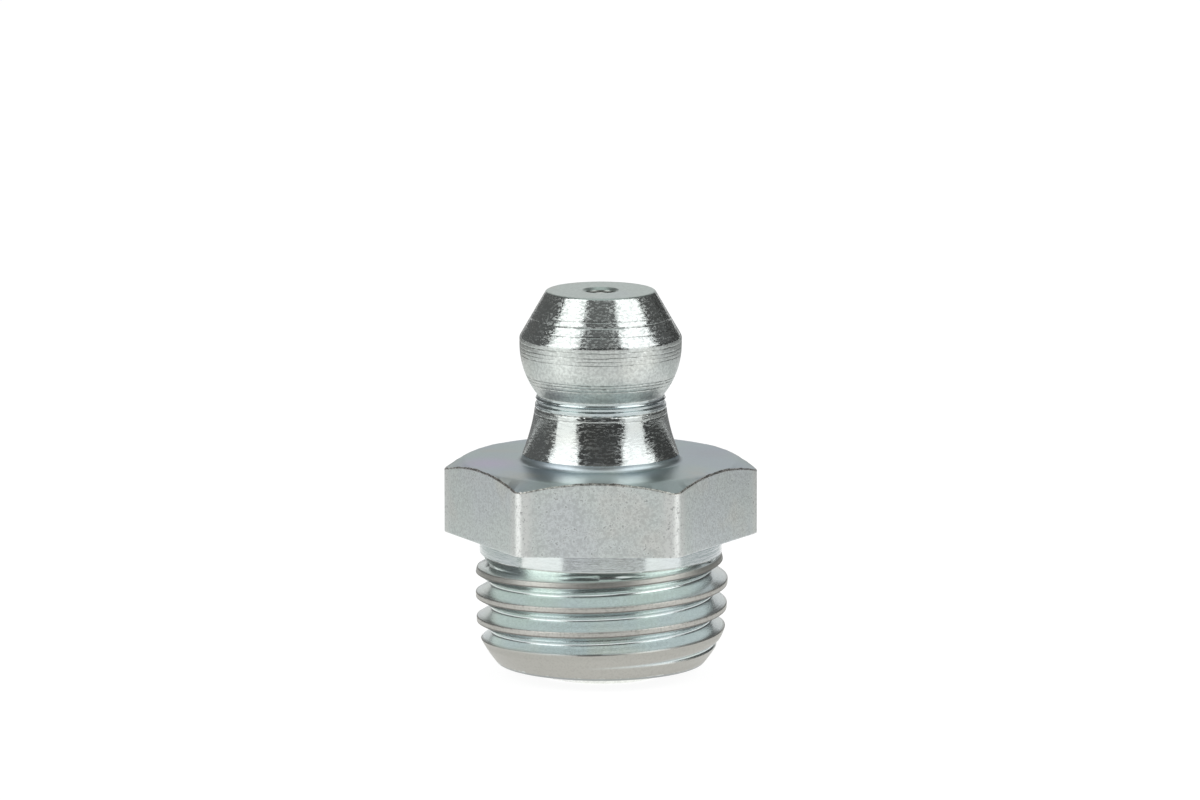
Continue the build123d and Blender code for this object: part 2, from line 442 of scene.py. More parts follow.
# %% Build the turned mesh
FINISHES = ["end", "bore", "top", "cone", "underside", "groove", "neck"]
FINISHES += ["hexagon_top", "hexagon_edge", "flats", "collar", "thread"]
CORNER_RINGS = ARC_STEPS + 3  # a soft corner's arc and the two rings that hold it
TOP_EDGE_RINGS = 4  # this many rings of the head's upper corner still belong to the top
HEAD_ZONES = {"cone": BAND_TOP - 0.02, "underside": GROOVE_TOP - 0.01, "groove": NECK_TOP - 0.1, "neck": -math.inf}
CORNER_MARGIN, CORNER_FADE = 0.08, 0.04  # of the painted corner, as shares of the points
SHADED_LINE_HEIGHTS = [line[0] for line in (*CONE_LINES, BAND_LINE, *UNDERSIDE_LINES, *NECK_LINES)]

rings = []


def add_rings(points, finish, angles=ANGLES):
    rings.extend((point[0], point[1], finish, angles) for point in points)


def height_of(point):
    return float(np.mean(point[1]))


for point in inside_outline:
    is_end = height_of(point) < BORE_FOOT - 0.02 and np.mean(point[0]) > OUTLET_RADIUS + 0.02
    is_mouth = height_of(point) > TOP - MOUTH_DEPTH - 0.01
    add_rings([point], "end" if is_end else "top" if is_mouth else "bore")
head_outline = outline([(INLET_RADIUS, TOP - MOUTH_DEPTH, 0), *head_corners])[1:]
for number, point in enumerate(head_outline[CORNER_RINGS:]):  # the mouth's corner is in already
    zone = next(name for name, foot in HEAD_ZONES.items() if height_of(point) > foot)
    add_rings([point], "top" if number < TOP_EDGE_RINGS else zone)
add_rings(neck_foot_outline, "hexagon_top")
add_rings(crown + chamfer[:1], "hexagon_top", bar_angles)
add_rings(chamfer[1:] + flat_edge[1:-2], "hexagon_edge", bar_angles)
add_rings(flat_edge[-2:] + flat_rows + bottom_edge[:-2], "flats", bar_angles)
add_rings(bottom_edge[-2:-1], "collar", bar_angles)
add_rings(collar_outline, "collar")

points = [ring(radius, height, angles) for radius, height, _, angles in rings]
means = [np.array([np.mean(np.broadcast_to(r, ANGLES.shape)), height_of((r, z))]) for r, z, _, _ in rings]
strides = [np.linalg.norm(after - before) for before, after in zip(means, means[1:])]
along = np.concatenate([[0.0], np.cumsum(strides)])
face_finish = np.repeat([FINISHES.index(finish) for _, _, finish, _ in rings[:-1]], RING_POINTS)

turned = mesh_of("turned", points, closed=True)
turned.polygons.foreach_set("material_index", face_finish.tolist())
# Painted highlight: a lighter band along each corner of the hexagon's flats.
at_corner = np.clip((np.abs(local) - FLAT_POINTS + CORNER_MARGIN) / CORNER_FADE, 0, 1)
# Painted shade: the tool lines get a dark colour, stronger or weaker round the axis as the waver goes.
is_shaded_line = [any(math.isclose(height_of(r), z) for z in SHADED_LINE_HEIGHTS) for r in rings]
tool_line_shade = [waver(0.5 + number) / WAVER_HIGH * is_line for number, is_line in enumerate(is_shaded_line)]
unmarked = np.zeros(len(rings) * RING_POINTS)  # for now: the thread fills these in
marks = {"along": np.repeat(along, RING_POINTS), "crest": unmarked, "turned": unmarked, "burr_and_painted_shade": unmarked}
marks |= {"corner": np.tile(at_corner, len(rings)), "tool_line_shade": np.concatenate(tool_line_shade)}
for name, values in marks.items():
    turned.attributes.new(name, "FLOAT", "POINT").data.foreach_set("value", values)
print(len(rings), "rings,", len(turned.polygons), "faces, outline of", round(float(along[-1]), 1), "mm")

# %% [markdown]
# ## A small language for node trees
# The thread and the finishes are node trees. Written node by node they would bury the idea, so a `Wire` stands for
# the output of a node, and sums on wires add their own Math nodes. `Tree.add` makes any other node.

# %% Wires and trees
class Wire:
    """An output of a node. Arithmetic on it adds Math nodes to the same tree."""

    def __init__(self, tree, socket):
        self.tree = tree
        self.socket = socket

    def math(self, operation, *values):
        inputs = dict(enumerate((self, *values)))
        return self.tree.add("ShaderNodeMath", inputs, operation=operation)

    def __add__(self, other):
        return self.math("ADD", other)

    def __mul__(self, other):
        return self.math("MULTIPLY", other)

    def __sub__(self, other):
        return self.math("SUBTRACT", other)

    def __rsub__(self, other):
        return self.tree.add("ShaderNodeMath", {0: other, 1: self}, operation="SUBTRACT")

    def __truediv__(self, other):
        return self.math("DIVIDE", other)

    __radd__ = __add__
    __rmul__ = __mul__


class Tree:
    """A node tree that is filled from Python."""

    def __init__(self, node_tree):
        self.node_tree = node_tree

    def add(self, kind, inputs=None, output=0, **settings):
        """A new node with these settings and inputs. Gives back one of its outputs."""
        node = self.node_tree.nodes.new(kind)
        for name, value in settings.items():
            setattr(node, name, value)
        self.feed(node, inputs or {})
        return Wire(self, node.outputs[output]) if node.outputs else node

    def feed(self, node, inputs):
        """Sets inputs of a node to values or wires."""
        for name, value in inputs.items():
            if isinstance(value, Wire):
                self.node_tree.links.new(value.socket, node.inputs[name])
            else:
                node.inputs[name].default_value = value

    def mix(self, factor, first, second):
        """A colour between two others. Math nodes would turn colours grey."""
        first, second = (colour if isinstance(colour, Wire) else (*colour, 1) for colour in (first, second))
        inputs = {0: factor, 6: first, 7: second}
        return self.add("ShaderNodeMix", inputs, output=2, data_type="RGBA", clamp_factor=True)


def split(vector):
    """The three parts of a vector."""
    node = vector.tree.add("ShaderNodeSeparateXYZ", {0: vector}).socket.node
    return [Wire(vector.tree, output) for output in node.outputs]


def joined(x, y, z):
    return x.tree.add("ShaderNodeCombineXYZ", {"X": x, "Y": y, "Z": z})


def scaled(vector, factor):
    return vector.tree.add("ShaderNodeVectorMath", {0: vector, "Scale": factor}, operation="SCALE")


def ramp(value, start, end, low=0.0):
    """`low` at start, 1 at end, smooth between them."""
    inputs = {"Value": value, "From Min": start, "From Max": end, "To Min": low}
    return value.tree.add("ShaderNodeMapRange", inputs, interpolation_type="SMOOTHSTEP")


print("a wire understands + - * / and math()")

# %% [markdown]
# A Geometry Nodes group takes named numbers and gives back a mesh. Three helpers open such a group, close it and
# grow a mesh with it.

# %% Groups that grow meshes
def open_group(name, numbers, takes_mesh=False):
    """A new group with an input for each number and one for the finish: its tree, and the wires of its inputs."""
    group = bpy.data.node_groups.new(name, "GeometryNodeTree")
    kinds = [("Geometry", "INPUT", "Geometry")] if takes_mesh else []
    kinds += [(number, "INPUT", "Float") for number in numbers]
    for title, way, kind in (*kinds, ("finish", "INPUT", "Material"), ("Geometry", "OUTPUT", "Geometry")):
        socket = group.interface.new_socket(name=title, in_out=way, socket_type="NodeSocket" + kind)
        if kind == "Float":
            socket.default_value = numbers[title]
    tree = Tree(group)
    given = group.nodes.new("NodeGroupInput")
    return tree, {socket.name: Wire(tree, socket) for socket in given.outputs}


def close_group(tree, geometry, finish):
    """Makes the result real, gives it its finish and sends it out."""
    real = tree.add("GeometryNodeRealizeInstances", {"Geometry": geometry})
    painted = tree.add("GeometryNodeSetMaterial", {"Geometry": real, "Material": finish})
    tree.add("NodeGroupOutput", {"Geometry": painted})


def grown(tree, seed_mesh, numbers, finish):
    """The plain mesh that a group makes of a seed mesh."""
    seed = placed("seed", seed_mesh)
    modifier = seed.modifiers.new("grow", "NODES")
    modifier.node_group = tree.node_tree
    values = {**numbers, "finish": finish}
    for socket in tree.node_tree.interface.items_tree:
        if socket.name in values:
            modifier[socket.identifier] = values[socket.name]
    seen = seed.evaluated_get(bpy.context.evaluated_depsgraph_get())
    mesh = bpy.data.meshes.new_from_object(seen)
    bpy.data.objects.remove(seed)
    return mesh


print("groups can be opened, closed and grown")

# %% [markdown]
# ## Cutting the thread
# A thread is a rule, not a shape to draw: the crest stands one pitch higher after each turn. So the shank starts as
# a plain blank, and Geometry Nodes cut it. For each point the tree works out how far it is from the nearest crest,
# and from that how deep the 60 degree tool has gone. Smooth minimum and smooth maximum round the crest and the
# root, as rolling and plating do.

# %% Thread tree
THREAD = {
    "pitch": 1.0,
    "first crest": -1.22,  # height of a crest at the front flat
    "lean": 0.006,  # the die was held a touch out of square: mm up for each mm to the right
    "crest width": 0.2,
    "depth": 0.60,
    "flank slope": 1 / math.tan(math.radians(30)),
    "top": COLLAR_FOOT,
    "start slope": 0.9,  # the cut deepens by this for each mm below its top
    "soft edge": 0.045,
    "turned away": 1.48,  # the lead-in hides a groove unless it is this much deeper
}
RUN_OUT_FADE, RUN_OUT_CREST = (-1.3, -1.8), 0.3  # the crest's shine grows from this share between these heights
SHADE_LINE_DROP, SHADE_LINE_NARROWNESS = 0.005, 22  # painted shade under each crest: mm above the lower crest edge, 1 / mm
RULER_DEPTH = 0.8  # mm of outline for each mm of depth

cut, size = open_group("cut thread", THREAD, takes_mesh=True)
x, y, z = split(scaled(cut.add("GeometryNodeInputPosition"), 1 / MM))
radius = (x * x + y * y).math("SQRT")
turn = x.math("ARCTAN2", 0 - y) / (2 * math.pi)  # 0 at the front flat, the seam at the back
rise = (z - x * size["lean"] - size["first crest"]) / size["pitch"] - turn
above_crest = ((rise + 0.5).math("FRACT") - 0.5) * size["pitch"]
from_crest = above_crest.math("ABSOLUTE")
slope = (from_crest - size["crest width"] * 0.5) * size["flank slope"]
groove = slope.math("SMOOTH_MAX", 0.0, size["soft edge"]).math("SMOOTH_MIN", size["depth"], size["soft edge"] * 2)
below_top = size["top"] - z
groove = groove.math("SMOOTH_MIN", below_top * size["start slope"], size["soft edge"])
given_up = cut.add("GeometryNodeInputNamedAttribute", {"Name": "lead in"}, data_type="FLOAT") * size["turned away"]
start = (below_top * (1 / HOLD)).math("MINIMUM", 1.0)
depth = (groove - given_up).math("SMOOTH_MAX", 0.0, size["soft edge"]) * start
cut_radius = radius - depth
moved = joined(x * cut_radius / radius * MM, y * cut_radius / radius * MM, z * MM)
marked = cut.add("GeometryNodeSetPosition", {"Geometry": size["Geometry"], "Position": moved})
from_shade_line = (above_crest + size["crest width"] * 0.5 - SHADE_LINE_DROP).math("ABSOLUTE")
masks = {
    "along": z - turn * size["pitch"] + depth * RULER_DEPTH,
    "crest": ramp(groove, 0.06, 0.01) * ramp(z, *RUN_OUT_FADE, RUN_OUT_CREST),
    "turned": ramp(given_up - groove, -0.08, 0.02),
    # Painted shade: a dark line just above each crest's lower edge, faded out where the lead-in has turned the thread
    # away.
    "burr_and_painted_shade": (1 - (from_shade_line * SHADE_LINE_NARROWNESS).math("MINIMUM", 1.0)) * (1 - given_up * 8).math("MAXIMUM", 0.0),
}
for name, value in masks.items():
    inputs = {"Geometry": marked, "Name": name, "Value": value}
    marked = cut.add("GeometryNodeStoreNamedAttribute", inputs, data_type="FLOAT", domain="POINT")
welded = cut.add("GeometryNodeMergeByDistance", {"Geometry": marked, "Distance": 0.002 * MM})
close_group(cut, welded, size["finish"])
print("thread tree with", len(cut.node_tree.nodes), "nodes and inputs", list(THREAD))

# %% [markdown]
# The blank's own rows already climb with the thread, so that each lies on one line of it (a crest edge, a flank or
# the root), and the edges come out clean. Rows that would climb past either end are held there, and the tree welds
# what falls together.

# %% Shank blank
ROWS_OF_A_TURN = (0, 0.05, 0.085, 0.105, 0.13, 0.2, 0.28, 0.36, 0.42, 0.45, 0.475)  # pitches from the crest, one side

one_turn = sorted({*ROWS_OF_A_TURN, 0.5, *(1 - part for part in ROWS_OF_A_TURN[1:])})
turns = int(math.ceil((COLLAR_FOOT - THREAD_FOOT) / THREAD["pitch"])) + 2
lowest = THREAD["first crest"] - math.ceil((THREAD["first crest"] - THREAD_FOOT) / THREAD["pitch"] + 1)
row_offsets = [lowest + (n + part) * THREAD["pitch"] for n in range(turns) for part in one_turn]
blank_angles = np.append(ANGLES, math.pi)
climb = THREAD["pitch"] * blank_angles / (2 * math.pi) + THREAD["lean"] * CREST_RADIUS * np.sin(blank_angles)
blank_points = []
lead_in = []
for offset in row_offsets:
    heights = np.clip(offset + climb, THREAD_FOOT, COLLAR_FOOT)
    blank_points.append(ring(blank_radius(heights, blank_angles), heights, blank_angles))
    lead_in.append(crest_radius(heights, blank_angles) - blank_radius(heights, blank_angles))
blank = mesh_of("shank blank", blank_points)
blank.attributes.new("lead in", "FLOAT", "POINT").data.foreach_set("value", np.concatenate(lead_in))
print(len(row_offsets), "rows,", len(one_turn), "for each turn")

# %% Cut, weld to the turned rings and close
WELD = 0.003 * MM
SHARP = math.radians(38)

finishes = {name: bpy.data.materials.new("zinc_" + name) for name in FINISHES}
threaded = grown(cut, blank, THREAD, finishes["thread"])
for polygon in threaded.polygons:
    polygon.material_index = FINISHES.index("thread")


def dressed(mesh):
    """An object of this mesh and name, smooth but for its sharp edges."""
    mesh.shade_smooth()
    mesh.set_sharp_from_angle(angle=SHARP)
    mesh.calc_loop_triangles()
    print(mesh.name, "has", len(mesh.loop_triangles), "triangles")
    return placed(mesh.name, mesh)


body_mesh = bpy.data.meshes.new("nipple_body_dressed")
skin = bmesh.new()
skin.from_mesh(turned)
skin.from_mesh(threaded)
bmesh.ops.remove_doubles(skin, verts=skin.verts, dist=WELD)
bmesh.ops.recalc_face_normals(skin, faces=skin.faces)
print(sum(1 for edge in skin.edges if len(edge.link_faces) != 2), "open edges")
skin.to_mesh(body_mesh)
skin.free()
for name in FINISHES:
    body_mesh.materials.append(finishes[name])
body = dressed(body_mesh)

# %% [markdown]
# ## The spring
# A coil is the plainest of rules: a point goes round while it climbs. The first and last turn climb by little more
# than the wire's thickness, so that the spring stands square. The tree lifts and turns a line of points, sweeps the
# wire along it and grinds the ends flat by holding every point between the two end planes.

# %% Spring tree
spring_low, spring_high = (corner.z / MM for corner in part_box("valve_spring"))
SPRING = {
    "wire": 0.3,
    "coil diameter": 2.4,
    "end pitch": 0.34,
    "open turns": 8.0,
    "foot": spring_low,
    "head": spring_high,
}
POINTS_PER_TURN = 48
WIRE_POINTS = 12

coil, size = open_group("coil spring", SPRING)
all_turns = size["open turns"] + 2
line = coil.add("GeometryNodeMeshLine", {"Count": (all_turns * POINTS_PER_TURN + 1).math("ROUND")})
turn = coil.add("GeometryNodeInputIndex") / POINTS_PER_TURN
open_turn = (turn - 1).math("MAXIMUM", 0.0).math("MINIMUM", size["open turns"])
open_pitch = (size["head"] - size["foot"] - 2 * size["end pitch"]) / size["open turns"]
height = size["foot"] + turn * size["end pitch"] + open_turn * (open_pitch - size["end pitch"])
angle = turn * (2 * math.pi)
half_coil = size["coil diameter"] * (0.5 * MM)
on_coil = joined(angle.math("COSINE") * half_coil, angle.math("SINE") * half_coil, height * MM)
bent = coil.add("GeometryNodeSetPosition", {"Geometry": line, "Position": on_coil})
path = coil.add("GeometryNodeMeshToCurve", {"Mesh": bent})
half_wire = size["wire"] * (0.5 * MM)
round_wire = coil.add("GeometryNodeCurvePrimitiveCircle", {"Resolution": WIRE_POINTS, "Radius": half_wire})
swept = coil.add("GeometryNodeCurveToMesh", {"Curve": path, "Profile Curve": round_wire, "Fill Caps": True})
x, y, z = split(coil.add("GeometryNodeInputPosition"))
ground_z = z.math("MAXIMUM", size["foot"] * MM).math("MINIMUM", size["head"] * MM)
ground = coil.add("GeometryNodeSetPosition", {"Geometry": swept, "Position": joined(x, y, ground_z)})
close_group(coil, ground, size["finish"])

wire_material = bpy.data.materials.new("spring_wire")
spring_mesh = grown(coil, bpy.data.meshes.new("coil seed"), SPRING, wire_material)
spring_mesh.name = "valve_spring_dressed"
spring = dressed(spring_mesh)

# %% [markdown]
# ## The ball
# The ball is ground and lapped. All there is to see on it is the faint ring where the cone seat has polished it.
# It is made like the body, as rings from pole to pole, and closed with a fan of triangles at each pole.

# %% Ball
ball_low, ball_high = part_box("valve_ball")
ball_centre = (ball_low.z + ball_high.z) / 2 / MM
BALL_RADIUS = (ball_high.z - ball_low.z) / 2 / MM
SEAT_BAND_ANGLE, SEAT_BAND_WIDTH, SEAT_BAND_DEPTH = math.radians(45), math.radians(5), 0.0015
BALL_RINGS = 72
BALL_POINTS = 96

ball_points = []
for number in range(1, BALL_RINGS):
    tilt = math.pi * number / BALL_RINGS  # from the upper pole
    span = BALL_RADIUS - SEAT_BAND_DEPTH * math.exp(-(((tilt - SEAT_BAND_ANGLE) / SEAT_BAND_WIDTH) ** 2))
    ball_points.append(ring(span * math.sin(tilt), ball_centre + span * math.cos(tilt), angles_of(BALL_POINTS)))
poles = [(0, 0, (ball_centre + BALL_RADIUS) * MM), (0, 0, (ball_centre - BALL_RADIUS) * MM)]
upper_pole, last_ring = (BALL_RINGS - 1) * BALL_POINTS, (BALL_RINGS - 2) * BALL_POINTS
fans = []
for here in range(BALL_POINTS):
    after = (here + 1) % BALL_POINTS
    fans += [(upper_pole, after, here), (upper_pole + 1, last_ring + here, last_ring + after)]
ball_mesh = mesh_of("valve_ball_dressed", ball_points, closed=True, more_points=poles, more_faces=fans)
ball_shell = bmesh.new()
ball_shell.from_mesh(ball_mesh)
bmesh.ops.recalc_face_normals(ball_shell, faces=ball_shell.faces)
ball_shell.to_mesh(ball_mesh)
ball_shell.free()
ball_material = bpy.data.materials.new("lapped_ball_steel")
ball_mesh.materials.append(ball_material)
ball = dressed(ball_mesh)
print("ball of", round(2 * BALL_RADIUS, 2), "mm at height", round(ball_centre, 2))

# %% [markdown]
# ## Zinc, in one recipe
# The body is plated with bright zinc, so every region shares one recipe and differs in what lay under the
# plating: turned faces keep the tool's marks, drawn flats are dull and dotted with tiny pits, and smooth faces show
# the thin blue film of the passivation. Some masks and colours also paint highlights, reflections and shade.
# The recipe has these parts:
# - specks: torn places that break a reflection into black and white, given as marks per mm round the axis and
#   across the cut, their height in mm and how much rougher they are than the face between them,
# - rings: marks that run all the way round,
# - grain: an even, dull roughness with no direction,
# - mottle: a fine cloudiness of the plating,
# - pits: dark dots a few hundredths of a millimetre wide,
# - film: slow drifts of colour between blue, teal and warm grey,
# - masked looks: another colour and roughness where a mask on the mesh says so, for wear and for painted highlights
#   and shade,
# - colour spots: round spots of another colour, for film colour and for painted reflections.

# %% Finish recipe
RING_ROUND, RING_ACROSS = 0.06, 9.0  # marks for each mm
FILM_TINTS = {"blue": (0.88, 0.97, 1.13), "teal": (0.90, 1.05, 1.02), "warm": (1.07, 1.01, 0.92)}
BLUE_SHIFT = (7.0, 3.0, 5.0)  # mm, so that blue and warm drifts differ
PIT_DEPTH, PIT_SHADE, NICK_SHADE = 0.01, 0.35, 0.2  # mm, and shares of the colour round them

# A noise has a scale, a detail and a roughness. A patch begins at one of its values and is full at another.
SPECK_NOISE, RING_NOISE, GRAIN_NOISE = (1.0, 2.5, 0.6), (1.0, 3.0, 0.7), (14.0, 2.0, 0.6)
TORN = (0.44, 0.62)
PATCHES = {
    "blue": ((0.3, 1.0), (0.40, 0.60)),
    "warm": ((0.45, 2.0), (0.52, 0.72)),
    "clouds": ((9.0, 3.0, 0.65), (0.36, 0.64)),
    "nicks": ((11.0, 2.0, 0.6), (0.50, 0.62)),
    "dots": ((9.0, 1.0), (0.66, 0.72)),
    "fine dots": ((22.0, 1.0), (0.64, 0.74)),
}


def tinted(colour, tint):
    return tuple(part * share for part, share in zip(colour, tint))


def noise(vector, scale, detail, roughness=0.5):
    inputs = {"Vector": vector, "Scale": scale, "Detail": detail, "Roughness": roughness}
    return vector.tree.add("ShaderNodeTexNoise", inputs, noise_dimensions="3D")


def patches(vector, name):
    numbers, span = PATCHES[name]
    return ramp(noise(vector, *numbers), *span)


def bumped(height):
    """The normal of a surface with this height in mm."""
    return height.tree.add("ShaderNodeBump", {"Strength": 1.0, "Distance": MM, "Height": height})


def empty_tree(holder):
    """An empty node tree for a material or a world."""
    holder.use_nodes = True
    holder.node_tree.nodes.clear()
    return Tree(holder.node_tree)


def metal_in(material):
    """An empty tree for this material, and the metal in it."""
    tree = empty_tree(material)
    shader = tree.add("ShaderNodeBsdfPrincipled", {"Metallic": 1.0})
    tree.add("ShaderNodeOutputMaterial", {"Surface": shader})
    return tree, shader.socket.node


def plated(
    name, colour, rough, specks=None, rings=0.0, grain=0.0, mottle=0.0, pits=0.0, film=0.3, masked_looks=None, colour_spots=()
):
    """Fills the finish of one region. Heights are in mm, the rest are shares."""
    tree, metal = metal_in(finishes[name])
    spot = scaled(tree.add("ShaderNodeTexCoord", output=3), 1 / MM)
    x, y, _ = split(spot)
    ruler = tree.add("ShaderNodeAttribute", output=2, attribute_name="along")

    def along_cut(round_marks, across_marks):
        return joined(x * round_marks, y * round_marks, ruler * across_marks)

    heights = []
    roughness = rough
    if specks:
        round_marks, across_marks, height, torn = specks
        marks = noise(along_cut(round_marks, across_marks), *SPECK_NOISE)
        heights.append(marks * height)
        roughness = ramp(marks, *TORN) * torn + rough
    if rings:
        heights.append(noise(along_cut(RING_ROUND, RING_ACROSS), *RING_NOISE) * rings)
    if grain:
        heights.append(noise(spot, *GRAIN_NOISE) * grain)
    shifted = tree.add("ShaderNodeVectorMath", {0: spot, 1: BLUE_SHIFT}, operation="ADD")
    films = {tint: tinted(colour, share) for tint, share in FILM_TINTS.items()}
    tint = tree.mix(patches(shifted, "blue"), films["teal"], films["blue"])
    tint = tree.mix(patches(spot, "warm"), tint, films["warm"])
    shade = tree.mix(film, colour, tint)
    # Round spots of other colours: film colour, and on the hexagon top also painted reflections.
    for centre, reach, spot_tint, strength in colour_spots:
        away = tree.add("ShaderNodeVectorMath", {0: spot, 1: centre}, output=1, operation="DISTANCE")
        shade = tree.mix(ramp(away, reach, 0.0) * strength, shade, spot_tint)
    if mottle:
        shade = tree.mix(patches(spot, "clouds"), scaled(shade, 1 - mottle), scaled(shade, 1 + mottle))
    # Masked colours: wear on the crests and the lead-in, and painted highlights and shade on corners, tool lines and
    # under crests.
    for mask_name, (mask_colour, mask_rough, dark_share) in (masked_looks or {}).items():
        mask = tree.add("ShaderNodeAttribute", output=2, attribute_name=mask_name)
        nicks = patches(spot, "nicks") * dark_share
        mask_look = tree.mix(nicks, mask_colour, tinted(mask_colour, (NICK_SHADE,) * 3))
        shade = tree.mix(mask, shade, mask_look)
        roughness = mask * (mask_rough - rough) + roughness
    if pits:
        fine = patches(spot, "fine dots") * (0.6 * pits)
        hollow = (patches(spot, "dots") * pits).math("MAXIMUM", fine)
        shade = tree.mix(hollow, shade, tinted(colour, (PIT_SHADE,) * 3))
        heights.append(hollow * -PIT_DEPTH)
    tree.feed(metal, {"Base Color": shade, "Roughness": roughness})
    if heights:
        tree.feed(metal, {"Normal": bumped(sum(heights))})


print("recipe ready, with", len(FILM_TINTS), "film tints")

# %% [markdown]
# ## Each region's finish
# Zinc reflects about half of the light. The cone and the neck mirror most sharply, with torn specks that throw
# white into the dark reflections; on the neck they are drawn out along the cut. The underside of the head, the end
# and the flats are duller. The end is painted much lighter and the bore darker, as painted light and shade. The
# thread's flanks are the most even of all, but its crests are rubbed, and a painted dark line of shade runs under
# each crest. The tool lines are painted dark as shade, and the corners of the flats carry a painted highlight.

# %% Paint the regions
ZINC = (0.50, 0.525, 0.51)
# The lavender and blue-grey spots are film colour; the pale spot at the front of the hexagon top and the two darker
# teal ones beside it are painted reflections.
FILM_SPOTS_AND_PAINTED_REFLECTIONS = (  # centre, reach in mm, colour, strength
    ((-4.4, -1.0, HEXAGON_TOP), 1.8, (0.47, 0.44, 0.57), 0.9),
    ((4.6, 1.5, HEXAGON_TOP), 1.8, (0.40, 0.41, 0.50), 0.5),
    ((0.0, -4.6, HEXAGON_TOP), 2.6, (0.90, 1.0, 1.0), 0.95),
    ((-2.2, -4.2, HEXAGON_TOP), 0.8, (0.34, 0.42, 0.45), 0.35),
    ((2.3, -4.2, HEXAGON_TOP), 0.9, (0.26, 0.35, 0.34), 0.45),
)
# Masked looks, for wear and for painted highlights and shade: a mask's name with its colour, its roughness and how
# far its nicks darken it.
# Painted shade: the tool lines are coloured nearly black, as shade in their grooves.
PAINTED_TOOL_LINE_SHADE = {"tool_line_shade": ((0.17, 0.17, 0.16), 0.30, 0.0)}
# Painted highlight: the corners of the flats are coloured lighter, as the bright reflection they catch.
PAINTED_CORNER_HIGHLIGHT = {"corner": ((0.68, 0.70, 0.68), 0.36, 0.2)}
# The thread: rubbed crests and the matt lead-in are wear, and the dark line under each crest is painted shade.
THREAD_WEAR_AND_SHADE = {
    "crest": ((0.90, 0.89, 0.86), 0.28, 0.9),
    "turned": ((0.45, 0.445, 0.41), 0.40, 0.1),
    "burr_and_painted_shade": ((0.14, 0.13, 0.12), 0.40, 0.0),
}

plated("cone", ZINC, 0.08, specks=(6.5, 12.0, 0.006, 0.30), rings=0.0016, film=0.12, masked_looks=PAINTED_TOOL_LINE_SHADE)
plated("neck", (0.48, 0.505, 0.49), 0.07, specks=(5.0, 14.0, 0.005, 0.22), rings=0.0020, film=0.12, masked_looks=PAINTED_TOOL_LINE_SHADE)
plated("groove", (0.50, 0.54, 0.54), 0.14, specks=(3.2, 12.0, 0.003, 0.15), rings=0.001, film=0.3, masked_looks=PAINTED_TOOL_LINE_SHADE)
FINE_SPECKS = (8.0, 12.0, 0.006, 0.12)
plated("underside", (0.57, 0.595, 0.57), 0.34, FINE_SPECKS, rings=0.003, mottle=0.14, film=0.1, masked_looks=PAINTED_TOOL_LINE_SHADE)
plated("top", (0.505, 0.53, 0.51), 0.32, rings=0.001, grain=0.001, mottle=0.09, film=0.6)
plated("hexagon_top", (0.43, 0.48, 0.485), 0.38, rings=0.0008, grain=0.0006, mottle=0.03, film=0.4, colour_spots=FILM_SPOTS_AND_PAINTED_REFLECTIONS)
plated("hexagon_edge", (0.56, 0.545, 0.51), 0.28, grain=0.012, mottle=0.5, pits=0.8, film=0.2)
plated("flats", (0.60, 0.625, 0.61), 0.36, grain=0.005, mottle=0.14, pits=0.6, film=0.2, masked_looks=PAINTED_CORNER_HIGHLIGHT)
plated("collar", (0.525, 0.55, 0.545), 0.10, specks=(2.5, 14.0, 0.003, 0.10), rings=0.003, film=0.2)
plated("thread", (0.65, 0.70, 0.68), 0.20, rings=0.0025, grain=0.0012, mottle=0.04, film=0.2, masked_looks=THREAD_WEAR_AND_SHADE)
# Painted light: the end is coloured far lighter than zinc, to make up for the shadowed floor that it mirrors.
plated("end", (0.92, 0.91, 0.87), 0.42, rings=0.005, grain=0.003, mottle=0.08, film=0.2)
# Painted shade: the bore is coloured darker than the zinc outside it.
plated("bore", (0.36, 0.37, 0.36), 0.35, rings=0.003, film=0.2)
print(len(FINISHES), "finishes painted")

# %% [markdown]
# Ball steel is smoother than zinc, and its colour is set far lighter, a painted highlight that brightens its glint;
# the spring is drawn wire with lines along its length.

# %% Paint the ball and the spring
def plain_metal(material, colour, rough, stretch, height):
    """Bare steel with fine marks, stretched by these factors."""
    tree, metal = metal_in(material)
    place = tree.add("ShaderNodeTexCoord", output=3)
    marks = noise(tree.add("ShaderNodeVectorMath", {0: place, 1: stretch}, operation="MULTIPLY"), 1.0, 2.0, 0.6)
    shade = tree.mix(ramp(marks, 0.3, 0.7), colour, tinted(colour, (0.8, 0.8, 0.8)))
    roughness = ramp(marks, 0.3, 0.8) * 0.1 + rough
    tree.feed(metal, {"Base Color": shade, "Roughness": roughness, "Normal": bumped(marks * height)})


# Painted highlight: the ball's colour is set far lighter than steel, so that its glint in the inlet comes out
# brighter.
plain_metal(ball_material, (0.88, 0.87, 0.84), 0.10, (3000, 3000, 3000), 0.0008)
plain_metal(wire_material, (0.38, 0.385, 0.39), 0.25, (2500, 2500, 9000), 0.002)
print("ball and spring painted")

# %% [markdown]
# ## The floor and the room
# The floor is plain and white. For the camera and for reflections it glows a little, so that it stays white up to
# the horizon, and it still takes the nipple's shadow. All other light sees an ordinary pale floor. The room is full
# white where it is seen, and a little dimmer as light.

# %% Floor and room
FLOOR_HALF = 1.5  # metres
FLOOR_GLOW = 0.90
FLOOR_SHADE, FLOOR_SHADE_SEEN = 0.80, 0.20
ROOM_LIGHT = 0.7
RAYS = ("Is Camera Ray", "Is Glossy Ray", "Is Transmission Ray")


